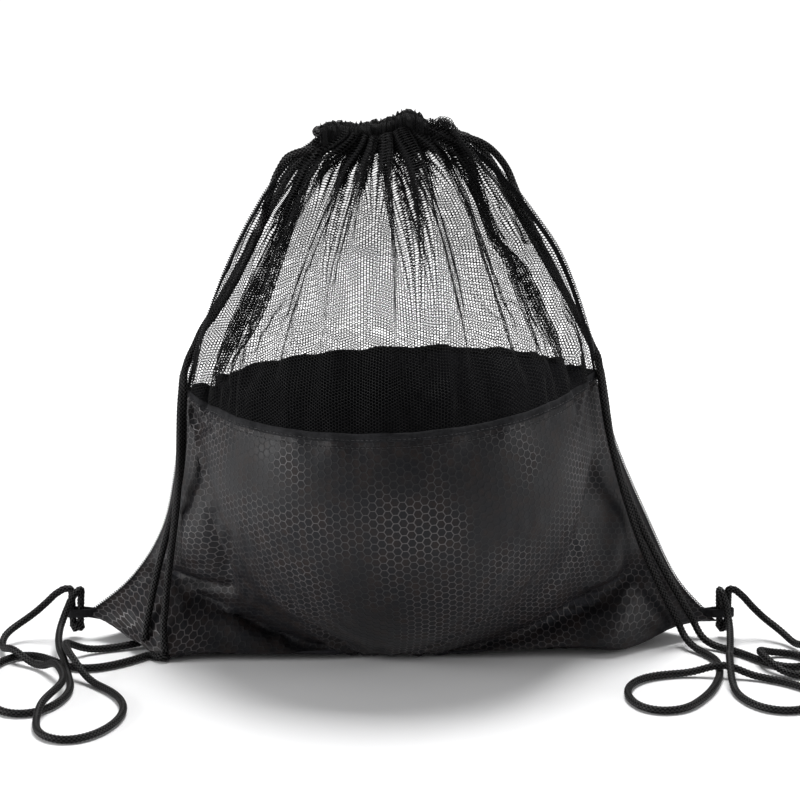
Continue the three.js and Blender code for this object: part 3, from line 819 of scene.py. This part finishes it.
for face, sheet in SHEETS.items():
    lower = honeycomb_panel(f"{face}_honeycomb", sheet, 0.0, HEM_PATH)
    keep(lower, "bag", "coated_fabric", f"{face}_lower_panel")
    keep(join_band(f"{face}_hem", sheet), "bag", "binding", f"{face}_join_band")
    for kind, (above, lift) in STITCH_LINES.items():
        keep(stitch_line(f"{face}_{kind}_stitches", sheet, HEM_PATH + above, lift), "bag", "thread")


# ------ net
NET_WIDTHS = 3
GATHERS = 26
GATHER_SWING = 9.0 * MM
GATHER_DEPTH = 1.4 * MM
WEDGES = 5.6  # groups of gathers that reach further down than the rest, mostly near the middle
WEDGE_PART, WEDGE_FADE = (0.1, 0.2), 0.85  # where they become smaller away from the middle, and by how much
SHOULDER = (0.28, 0.42)  # distance from the middle, as a share of the width, where a shoulder begins
GATHER_REACH, WEDGE_REACH, SHOULDER_REACH = 62, 78, 66  # down from the mouth, in millimetres; they add up
LEFT_SLACK, RIGHT_SLACK = 0.2, 0.5  # how much smaller the gathers are at each shoulder


def gathered(sheet):
    """The net with small overlapping gathers that fan out from the mouth."""

    def place(u, v, lift):
        wander = 1.3 * np.sin(FULL_TURN * 3.3 * u / PANEL_WIDTH + 0.4)  # so that no two gathers are alike
        phase = FULL_TURN * GATHERS * u / PANEL_WIDTH + wander
        aside = np.abs(u / PANEL_WIDTH - 0.5)
        wedge = np.clip(np.sin(FULL_TURN * WEDGES * u / PANEL_WIDTH + 0.9), 0, 1)
        wedge = wedge * (1 - WEDGE_FADE * ease(aside, *WEDGE_PART))
        shoulder = ease(aside, *SHOULDER)
        slack = np.where(u < PANEL_WIDTH / 2, LEFT_SLACK, RIGHT_SLACK)
        reach = (GATHER_REACH + WEDGE_REACH * wedge + SHOULDER_REACH * shoulder) * MM
        grip = ease(v, NECK_PATH - reach, NECK_PATH - 0.15 * reach)
        edge = ease(np.minimum(u, PANEL_WIDTH - u), 0, 8 * MM)
        swing = GATHER_SWING * grip * edge * (1 - slack * shoulder)
        return sheet.at(u + swing * np.sin(phase), v, lift + GATHER_DEPTH * grip * edge * np.cos(phase))

    return place


net_strip = (PANEL_WIDTH, BAND_TOP - 1 * MM, NECK_PATH, NET_PITCH, NET_STRAND, NET_TALLNESS)
net_bounds = [PANEL_WIDTH * k / NET_WIDTHS for k in range(NET_WIDTHS)] + [math.inf]
for face, sheet in SHEETS.items():
    for k in range(NET_WIDTHS):
        strands, places = lattice(gathered(sheet), *net_strip, net_bounds[k : k + 2])
        net = strands.build(f"{face}_net_{k + 1}", [NET])
        blend_by(net)
        keep(net, None, "net", f"{face}_net_panel")


# ------ casings round the mouth
CASING_TALL = 9.0 * MM
CASING_FULLNESS = 2.2  # length of cloth over length of casing
CASING_RUFFLE = 3.6 * MM
CASING_DROP = 4.5 * MM  # the soft casing hangs a little lower than its solid
CASING_SAG = 1.5 * MM
CASING_PITCH, CASING_STRAND = 1.3 * MM, 0.46 * MM
CASING_LINING = (460, 56)  # rings along the casing, and points round each
LINING_INSET = 0.8 * MM
HUMP_PLACE, HUMP_WIDTH, HUMP_HEIGHT = 9 * MM, 10 * MM, 5.5 * MM


def node_box(node):
    return np.array(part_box(node))


def casing_surface(face, sign):
    """Points of the gathered casing: along it, round it, and out from it."""
    low, high = node_box(f"{face}_casing")
    length = high[0] - low[0]
    middle = (low + high) / 2 - np.array([0, 0, CASING_DROP])
    deep = (high[1] - low[1]) / 2 - 0.6 * MM
    around = FULL_TURN * (CASING_TALL + deep) / 2 * 1.25
    gathered_length = length * CASING_FULLNESS

    def place(u, v, lift):
        s = u / gathered_length
        turn = v / around * 2 * math.pi
        x = low[0] + s * length
        ripple = FULL_TURN * x / CASING_RUFFLE
        wander = 1.1 * np.sin(2 * turn + 40 * s + sign) + 1.9 * np.sin(turn + 17 * s) + 0.9 * np.sin(61 * s)
        strength = 0.65 + 0.35 * np.sin(37 * s + 2 * sign)
        ruffle = (np.sin(ripple + wander) + 0.5 * np.sin(2.3 * ripple + 2.2 * wander + 1.3)) * strength
        hump = HUMP_HEIGHT * np.exp(-(((x - HUMP_PLACE) / HUMP_WIDTH) ** 2))
        sag = CASING_SAG * np.cos(FULL_TURN * s * 1.3 + 0.6)
        size = 0.5 + 0.5 * ease(np.minimum(s, 1 - s), -0.05, 0.16)
        up = np.sin(turn)
        spread = 1 + 0.25 * ease(-up, 0.2, 1.0)  # wider at the bottom, where the net comes in
        y = middle[1] + np.cos(turn) * (deep * size * spread + ruffle * 0.7 * MM + lift)
        z = middle[2] + up * (CASING_TALL * size + ruffle * 0.9 * MM + lift)
        z = z + hump * ease(up, -0.4, 1.0) + sag
        sway = 0.6 * MM * np.cos(ripple + wander)
        return np.stack([x + sway, y, z], axis=-1)

    return place, gathered_length, around


def casing_piece(face, sign):
    """Gathered net round a dense lining."""
    place, length, around = casing_surface(face, sign)
    strands, _ = lattice(place, length, 0, around, CASING_PITCH, CASING_STRAND)
    columns, rows = CASING_LINING
    v, u = np.meshgrid(np.linspace(0, around, rows, endpoint=False), np.linspace(0, length, columns))
    strands.add_rings(place(u, v, -LINING_INSET))
    return strands.build(f"{face}_gathered_casing", [NET])


for face, sign in (("front", -1), ("back", 1)):
    keep(casing_piece(face, sign), f"{face}_mouth", "net", f"{face}_casing")


# ------ cord lines of the CAD
CAD_CORD_THICKNESS = 5.1 * MM
CAD_CORD_CORNERS = 6
WELD = 0.01 * MM


def centreline(node):
    """The middle of a CAD cord, ring by ring from one end."""
    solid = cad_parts[node]
    place = np.array([solid.matrix_world @ v.co for v in solid.data.vertices])
    points, index = share_corners(place, WELD)
    faces = [[index[i] for i in p.vertices] for p in solid.data.polygons]
    near = [set() for _ in points]
    for f in faces:
        for i in f:
            near[i].update(f)
    ring = set(end_cap(points, faces))
    seen = set(ring)
    middle = []
    while ring:
        middle.append(points[list(ring)].mean(axis=0))
        ring = set().union(*(near[i] for i in ring)) - seen
        seen |= ring
    return np.array(middle)


def end_cap(points, faces):
    """The corners of a flat end: they lie in one plane, no further apart than the cord is thick."""
    for face in faces:
        a, b, c = points[face[:3]]
        away = points - a
        in_plane = np.abs(away @ unit(np.cross(b - a, c - a))) < WELD
        corners = np.flatnonzero(in_plane & (lengths_of(away) < CAD_CORD_THICKNESS))
        if len(corners) == CAD_CORD_CORNERS:
            gap = lengths_of(points[corners][:, None] - points[corners])
            if gap.max() < CAD_CORD_THICKNESS and gap[gap > 0].min() > 0.4 * CAD_CORD_THICKNESS:
                return corners
    raise ValueError("no flat end on this cord")


def towards(line, goal):
    """The line turned so that it ends nearer to goal."""
    return line if lengths_of(line[-1] - goal) <= lengths_of(line[0] - goal) else line[::-1]


def cord_parts(side, face):
    """One strand from the casing to the corner loop, in its four CAD lengths."""
    run = settled_run(centreline(f"{side}_cord_{face}_run"))
    lead, strap, slack = (centreline(f"{side}_{face}_{kind}") for kind in ("lead", "strap", "slack"))
    lead = towards(lead, strap.mean(axis=0))
    strap = towards(strap, slack.mean(axis=0))
    slack = towards(slack, strap[-1])[::-1]
    return towards(run, lead[0]), lead, strap, slack


# ------ how the cords lie
CORD_RADIUS = 2.15 * MM
BRAID_STEP = 0.52 * MM
TUCK = 0.25  # of a run's turn beyond the casing, the share that is left
RUN_GATHER = 0.6  # the two cords lie closer together in the soft casing
PAIR_HALF = 2.35 * MM  # half the distance between two strands that lie side by side
PAIR_TOP, PAIR_FOOT = 290 * MM, 66 * MM
TWIST_LENGTH = {"left": 230 * MM, "right": 95 * MM}
EASE_STEP = 4 * MM
EASE_ROUNDS = 12
CLEARANCE = CORD_RADIUS + 0.5 * MM
ON_GROUND = 14 * MM
FOOT_HOLD = 30 * MM  # length past the foot that still has to hang before the cloth
LOOP_HOLD = 48 * MM  # the end that rises over the corner loop and drops into it
FRONT_HEIGHT = 120 * MM  # below this every strand hangs before the front panel
CLOTH_REACH = 14 * MM  # cloth further away than this doesn't move a cord
CLOTH_TOP = 320 * MM
FAR_AHEAD = -0.4  # y of a place well before the bag


def settled_run(line):
    """A run dropped with the casing, its turn past the far end drawn in close."""
    low, high = node_box("front_casing")
    out = line.copy()
    middle = (low[2] + high[2]) / 2
    out[:, 2] = middle - CASING_DROP + (line[:, 2] - middle) * RUN_GATHER
    for edge, sign in ((low[0], -1), (high[0], 1)):
        beyond = sign * (line[:, 0] - edge)
        out[:, 0] = np.where(beyond > 0, edge + sign * beyond * TUCK, out[:, 0])
    return out


def smooth_line(points, step):
    """A smooth line through the points, sampled evenly."""
    rough = catmull(points, max(8, int(line_length(points) / step) + 1))
    return resample(rough, max(8, int(line_length(rough) / step) + 1))


def side_by_side(line, partner, side):
    """The line drawn in to its partner strand along the strap, turning slowly round it."""
    gap = lengths_of(line[:, None] - partner[None])
    near = partner[np.argmin(gap, axis=1)]
    between = (line + near) / 2
    apart = line - near
    tangent = unit(np.gradient(line, axis=0))
    apart = unit(apart - tangent * (apart * tangent).sum(axis=1, keepdims=True))
    z = line[:, 2]
    twist = FULL_TURN * (z - PAIR_FOOT) / TWIST_LENGTH[side]
    turned = apart * np.cos(twist)[:, None] + np.cross(tangent, apart) * np.sin(twist)[:, None]
    share = ease(z, PAIR_FOOT, PAIR_FOOT + 40 * MM) * (1 - ease(z, PAIR_TOP - 20 * MM, PAIR_TOP))
    share = share[:, None]
    return line * (1 - share) + (between + turned * PAIR_HALF) * share


def relaxed(line, rounds, held):
    """The line with its small kinks eased out; points that are held stay."""
    for _ in range(rounds):
        eased = line.copy()
        eased[1:-1] = (line[:-2] + 2 * line[1:-1] + line[2:]) / 4
        line = np.where(held[:, None], line, eased)
    return line


cloth_points = np.vstack([sheet.points.reshape(-1, 3) for sheet in SHEETS.values()])
cloth_normals = np.vstack([sheet.normals.reshape(-1, 3) for sheet in SHEETS.values()])
cloth_tree = KDTree(len(cloth_points))
for number, point in enumerate(cloth_points):
    cloth_tree.insert(point, number)
cloth_tree.balance()
front_count = front.points.size // 3
front_faces = quads(np.arange(front_count).reshape(front.points.shape[:2])).tolist()
front_tree = BVHTree.FromPolygons([Vector(point) for point in cloth_points[:front_count]], front_faces)


def clear_of_cloth(line):
    """The line moved out from the cloth wherever it comes too close."""
    out = line.copy()
    for k, point in enumerate(line):
        place, number, distance = cloth_tree.find(point)
        if point[2] > CLOTH_TOP or distance > CLOTH_REACH:
            continue
        normal = cloth_normals[number]
        stand = (point - np.array(place)) @ normal
        if stand < CLEARANCE:
            out[k] = point + normal * (CLEARANCE - stand)
    return out


def in_front_of_cloth(line):
    """The line brought out before the front panel wherever it has sunk in, near the ground."""
    out = line.copy()
    for k, (x, y, z) in enumerate(line):
        place = front_tree.ray_cast(Vector((x, FAR_AHEAD, z)), Vector((0, 1, 0)))[0]
        if z < FRONT_HEIGHT and place:
            out[k, 1] = min(y, place.y - CLEARANCE)
    return out


def held_points(line):
    """Points that keep their place in the casing and at the corner loop."""
    low, high = node_box("front_casing")
    in_casing = (line[:, 0] > low[0] - 2 * MM) & (line[:, 0] < high[0] + 2 * MM) & (line[:, 2] > low[2])
    return in_casing | (np.arange(len(line)) > len(line) - LOOP_HOLD / EASE_STEP)


def finished_lines(side):
    """Both strands of a side in their CAD lengths, and as whole lines that lie on the bag."""
    parts_of = {face: cord_parts(side, face) for face in SHEETS}
    rough = {face: smooth_line(np.vstack(parts), EASE_STEP) for face, parts in parts_of.items()}
    lines = {}
    for face, other in (("front", "back"), ("back", "front")):
        line = side_by_side(rough[face], rough[other], side)
        line = relaxed(line, 3, held_points(line))
        foot = np.argmax(line[:, 2] < ON_GROUND) + int(FOOT_HOLD / EASE_STEP)
        for _ in range(EASE_ROUNDS):
            line = relaxed(line, 10, held_points(line) | (line[:, 2] < ON_GROUND))
            line = clear_of_cloth(line)
            line[:foot] = in_front_of_cloth(line[:foot])
        line = relaxed(line, 2, held_points(line))
        line[:, 2] = np.maximum(line[:, 2], CLEARANCE)
        lines[face] = smooth_line(line, BRAID_STEP)
    return parts_of, lines


# ------ cords
BRAID_SIDES = 24
PLAITS_ROUND = 6
PLAIT_LENGTH = 2.6 * MM
PLAIT = 0.34 * MM
STRAP_HOLD = 42 * MM  # length over which a strap turns from still to swinging at its top
STRAP_BOW = 0.68  # share of its length over which it comes back to its still foot, in one smooth bow
SLACK_HOLD = 60 * MM


def plaits(i, j):
    """Height of the braid at ring i, corner j: bumps in staggered rows."""
    round_it = np.cos(PLAITS_ROUND * 2 * math.pi * j / BRAID_SIDES)
    return PLAIT * round_it * np.cos(FULL_TURN * i * BRAID_STEP / PLAIT_LENGTH)


def nearest(line, point):
    return int(np.argmin(lengths_of(line - point)))


def cord_lengths(side, face, whole, parts):
    """Each piece of a strand: its kind, ends, moving body, weights of the still bag, and CAD nodes."""
    run, lead, strap, slack = parts
    along = distance_along(whole)
    top = nearest(whole, (lead[-1] + strap[0]) / 2)
    ground = nearest(whole, (strap[-1] + slack[0]) / 2)
    still = ease(along[: top + 1], along[nearest(whole, lead[0])], along[top] - 1 * MM)
    yield "run", 0, top, f"{face}_mouth", still, (f"{side}_cord_{face}_run", f"{side}_{face}_lead")
    s = along[top : ground + 1] - along[top]
    still = 1 - ease(s, 0, STRAP_HOLD) * ease(s[-1] - s, 0, STRAP_BOW * s[-1])
    yield "strap", top, ground, f"{side}_strap", still, (f"{side}_{face}_strap",)
    still = 1 - ease(along[ground:] - along[ground], 0, SLACK_HOLD)
    yield "slack", ground, len(whole) - 1, f"{side}_slack", still, (f"{side}_{face}_slack",)


for side in SIDES:
    parts_of, lines = finished_lines(side)
    for face, whole in lines.items():
        for kind, first, last, body, still, nodes in cord_lengths(side, face, whole, parts_of[face]):
            braid = Parts()
            add_tube(braid, whole[first : last + 1], CORD_RADIUS, BRAID_SIDES, plaits)
            cord = braid.build(f"{side}_{face}_cord_{kind}", [CORD, PAINTED_SHADE_BETWEEN_PLAITS])
            blend_by(cord)
            keep(cord, None, "cord", *nodes)


# ------ seams
WINDING_SIDES = 12
SIDE_WINDING, BOTTOM_WINDING = (0.7 * MM, 1.5 * MM), (0.6 * MM, 1.6 * MM)  # radius and pitch
SEAM_THREAD = 0.3 * MM
SEAM_SAMPLES = 160
BOTTOM_SAMPLES = 200
SEAM_LOW = 12 * MM
TAPE_ROWS, TAPE_COLUMNS = 700, 8
TAPE_HALF = 0.22 * MM
TAPE_RIB = 0.06 * MM


def overlock(name, line, radius, pitch):
    """Thread wound round an edge."""
    fine = resample(line, int(line_length(line) / pitch) * WINDING_SIDES)
    side, other = frames_along(fine)
    turn = np.arange(len(fine)) * FULL_TURN / WINDING_SIDES
    wound = fine + radius * (side * np.cos(turn)[:, None] + other * np.sin(turn)[:, None])
    parts = Parts()
    add_tube(parts, wound, SEAM_THREAD, 5)
    return parts.build(name, [THREAD])


def between_sheets(u, v):
    return (front.at(u, v) + back.at(u, v)) / 2


def strip(middle, out, reach):
    """Rings round a strip with two sides, each a reach away from its middle."""
    offset = out * reach[..., None]
    return np.concatenate([middle + offset, (middle - offset)[:, ::-1]], axis=1)


def seam_tape(side):
    """Ribbed tape inside the side seam."""
    inset = np.linspace(0.8, 4.0, TAPE_COLUMNS)[None] * MM
    u = inset if side == "left" else PANEL_WIDTH - inset
    middle = between_sheets(u, np.linspace(SEAM_LOW, NECK_PATH - 12 * MM, TAPE_ROWS)[:, None])
    rib = TAPE_RIB * np.cos(np.arange(TAPE_ROWS) * math.pi)[:, None] * np.ones(TAPE_COLUMNS)
    parts = Parts()
    parts.add_rings(strip(middle, np.array([0, -1, 0]), TAPE_HALF + rib))
    return parts.build(f"{side}_tape", [BINDING])


for side, share in (("left", 0.0), ("right", 1.0)):
    u, v = np.full(SEAM_SAMPLES, share * PANEL_WIDTH), np.linspace(SEAM_LOW, NECK_PATH - 2 * MM, SEAM_SAMPLES)
    seam = overlock(f"{side}_overlock", between_sheets(u, v), *SIDE_WINDING)
    keep(seam, "bag", "thread", f"{side}_side_seam")
    keep(seam_tape(side), "bag", "binding", f"{side}_seam_tape")
line = front.at(np.linspace(0.03, 0.97, BOTTOM_SAMPLES) * PANEL_WIDTH, np.zeros(BOTTOM_SAMPLES))
keep(overlock("bottom_overlock", line, *BOTTOM_WINDING), "bag", "thread", "bottom_seam")


# ------ corner loops and knots
WEBBING_LEVELS = 11
WEBBING_HALF = 0.5 * MM
WEBBING_RIB = 0.09 * MM
WEBBING_STEP = 0.55 * MM
WEBBING_ROOM = 0.55 * MM  # half the webbing's thickness over its ribs, with a little play
NOSE_SET_BACK = 2.6 * MM
EDGE_THIN = -0.25 * MM
KNOT_RADII = np.array([2.0, 2.0, 2.3]) * MM
KNOT_SCALE = 0.52
KNOT_HEIGHT = 4.4 * MM
KNOT_SAMPLES = 240
LEG_FOOT, LEG_TOP = 2.2 * MM, 2.8 * MM  # how far the knot's two ends of cord stand from its middle
LOOP_MARGIN = 1.3 * MM


def webbing(name, line, low, high):
    """A strip of webbing on edge, following a line, with its woven ribs."""
    out = unit(np.cross(unit(np.gradient(line, axis=0)), [0, 0, 1]))
    i, j = np.indices((len(line), WEBBING_LEVELS))
    rib = WEBBING_RIB * np.where((i + j) % 2 == 0, 1.0, -1.0)
    edge = np.where((j == 0) | (j == WEBBING_LEVELS - 1), EDGE_THIN, 0.0)
    middle = np.repeat(line[:, None], WEBBING_LEVELS, axis=1)
    middle[..., 2] = np.linspace(low, high, WEBBING_LEVELS)
    parts = Parts()
    parts.add_rings(strip(middle, out[:, None], WEBBING_HALF + rib + edge), -1)
    return parts.build(name, [BINDING])


def loop_line(low, high, sign):
    """Round the corner loop and back into the seam, seen from above."""
    wide = (high[1] - low[1]) / 2 - WEBBING_ROOM
    tip = low[0] if sign < 0 else high[0]
    centre = tip - sign * (wide + NOSE_SET_BACK + WEBBING_ROOM)
    turn = np.linspace(-math.pi / 2, math.pi / 2, 24)
    nose = np.stack([centre + sign * (NOSE_SET_BACK + wide * np.cos(turn)), wide * np.sin(turn)], axis=1)
    reach = centre - sign * np.array([22, 12, 6]) * MM
    tail = np.column_stack([reach, [0.7 * MM, 0.75 * MM, wide * 0.8]])
    outline = np.vstack([tail * [1, -1], nose, tail[::-1]])
    flat = np.column_stack([outline, np.zeros(len(outline))])
    return resample(catmull(flat, 400), int(line_length(flat) / WEBBING_STEP))


def knot_piece(side):
    """An overhand knot under the loop, with both cord ends coming down into it."""
    low, high = node_box(f"{side}_knot")
    centre = (low + high) / 2
    centre[2] = low[2] + KNOT_HEIGHT
    t = np.linspace(0, FULL_TURN, KNOT_SAMPLES)
    curve = np.stack([np.sin(t) + 2 * np.sin(2 * t), np.cos(t) - 2 * np.cos(2 * t), -np.sin(3 * t)], axis=1)
    lines = [(centre + curve * KNOT_RADII * KNOT_SCALE, CORD_RADIUS * 0.9)]
    for sign in (-1, 1):
        end = np.array([centre[0] + sign * LEG_TOP, centre[1], high[2] + 0.6 * MM])
        foot = np.array([centre[0] + sign * LEG_FOOT, centre[1], centre[2]])
        lines.append((np.array([foot, end]), CORD_RADIUS))
    parts = Parts()
    for line, radius in lines:
        add_tube(parts, resample(line, int(line_length(line) / BRAID_STEP)), radius, BRAID_SIDES, plaits)
    return parts.build(f"{side}_stopper_knot", [CORD, PAINTED_SHADE_BETWEEN_PLAITS])


for side, sign in SIDES.items():
    low, high = node_box(f"{side}_corner_tab")
    tab = webbing(f"{side}_loop", loop_line(low, high, sign), low[2] + LOOP_MARGIN, high[2] - LOOP_MARGIN)
    keep(tab, "bag", "binding", f"{side}_corner_tab")
    keep(knot_piece(side), "bag", "cord", f"{side}_knot")


# ------ studio
VIEW_ELEVATION = math.radians(13.5)
VIEW_DISTANCE = 1.9
VIEW_WIDTH = 0.5
SENSOR_WIDTH = 36
AIM = Vector((0.0025, 0.0, 0.1556))
LIGHT_SIZE = 0.8
LIGHTS = {"top": ((0.1, 0.5, 1.7), 34), "left": ((-1.6, -0.4, 0.4), 18), "right": ((1.6, -0.2, 0.4), 7)}
FLOOR_SIZE = 2.6
FLOOR_FADE = (0.35, 1.1)  # distance over which the floor turns as white as what is behind it
FLOOR_GLOW = 0.4
LIT, SEEN = 0.26, 1.1  # the world's strength on the object, and as the camera sees it


def look_at(name, data, place):
    """An object of the studio, turned to the bag."""
    obj = bpy.data.objects.new(name, data)
    obj.location = place
    obj.rotation_euler = (AIM - Vector(place)).to_track_quat("-Z", "Y").to_euler()
    bpy.context.scene.collection.objects.link(obj)
    return obj


def floor():
    """White ground that begins to glow away from the bag."""
    bpy.ops.mesh.primitive_plane_add(size=FLOOR_SIZE)
    plane = bpy.context.object
    plane.name = "floor"
    look = Look("floor_paper", (0.94, 0.94, 0.945), 0.6, 0.1)
    fill(look.surface, {"Emission Color": (1, 1, 1, 1)})
    distance = look.add("VectorMath", {}, {})
    distance.operation = "LENGTH"
    look.links.new(look.place, distance.inputs[0])
    fade = look.spread(distance.outputs["Value"], FLOOR_FADE, 0.0, FLOOR_GLOW)
    fade.interpolation_type = "SMOOTHSTEP"
    look.set("Emission Strength", fade.outputs["Result"])
    plane.data.materials.append(look.material)


def surroundings():
    """A world that lights the object gently and looks white behind it."""
    world = bpy.data.worlds.new("studio")
    world.use_nodes = True
    nodes, links = world.node_tree.nodes, world.node_tree.links
    background = nodes["Background"]
    path = nodes.new("ShaderNodeLightPath")
    strength = nodes.new("ShaderNodeMapRange")
    fill(background.inputs, {"Color": (1, 1, 1, 1)})
    fill(strength.inputs, {"To Min": LIT, "To Max": SEEN})
    links.new(path.outputs["Is Camera Ray"], strength.inputs["Value"])
    links.new(strength.outputs["Result"], background.inputs["Strength"])
    return world


floor()
camera = bpy.data.cameras.new("camera")
camera.sensor_width = SENSOR_WIDTH
camera.lens = SENSOR_WIDTH * VIEW_DISTANCE / VIEW_WIDTH
away = Vector((0, -math.cos(VIEW_ELEVATION), math.sin(VIEW_ELEVATION)))
scene = bpy.context.scene
scene.camera = look_at("camera", camera, AIM + away * VIEW_DISTANCE)
for name, (place, power) in LIGHTS.items():
    light = bpy.data.lights.new(name, "AREA")
    assign(light, {"energy": power, "size": LIGHT_SIZE})
    look_at(name, light, place)
scene.world = surroundings()
scene.view_settings.view_transform = "Standard"
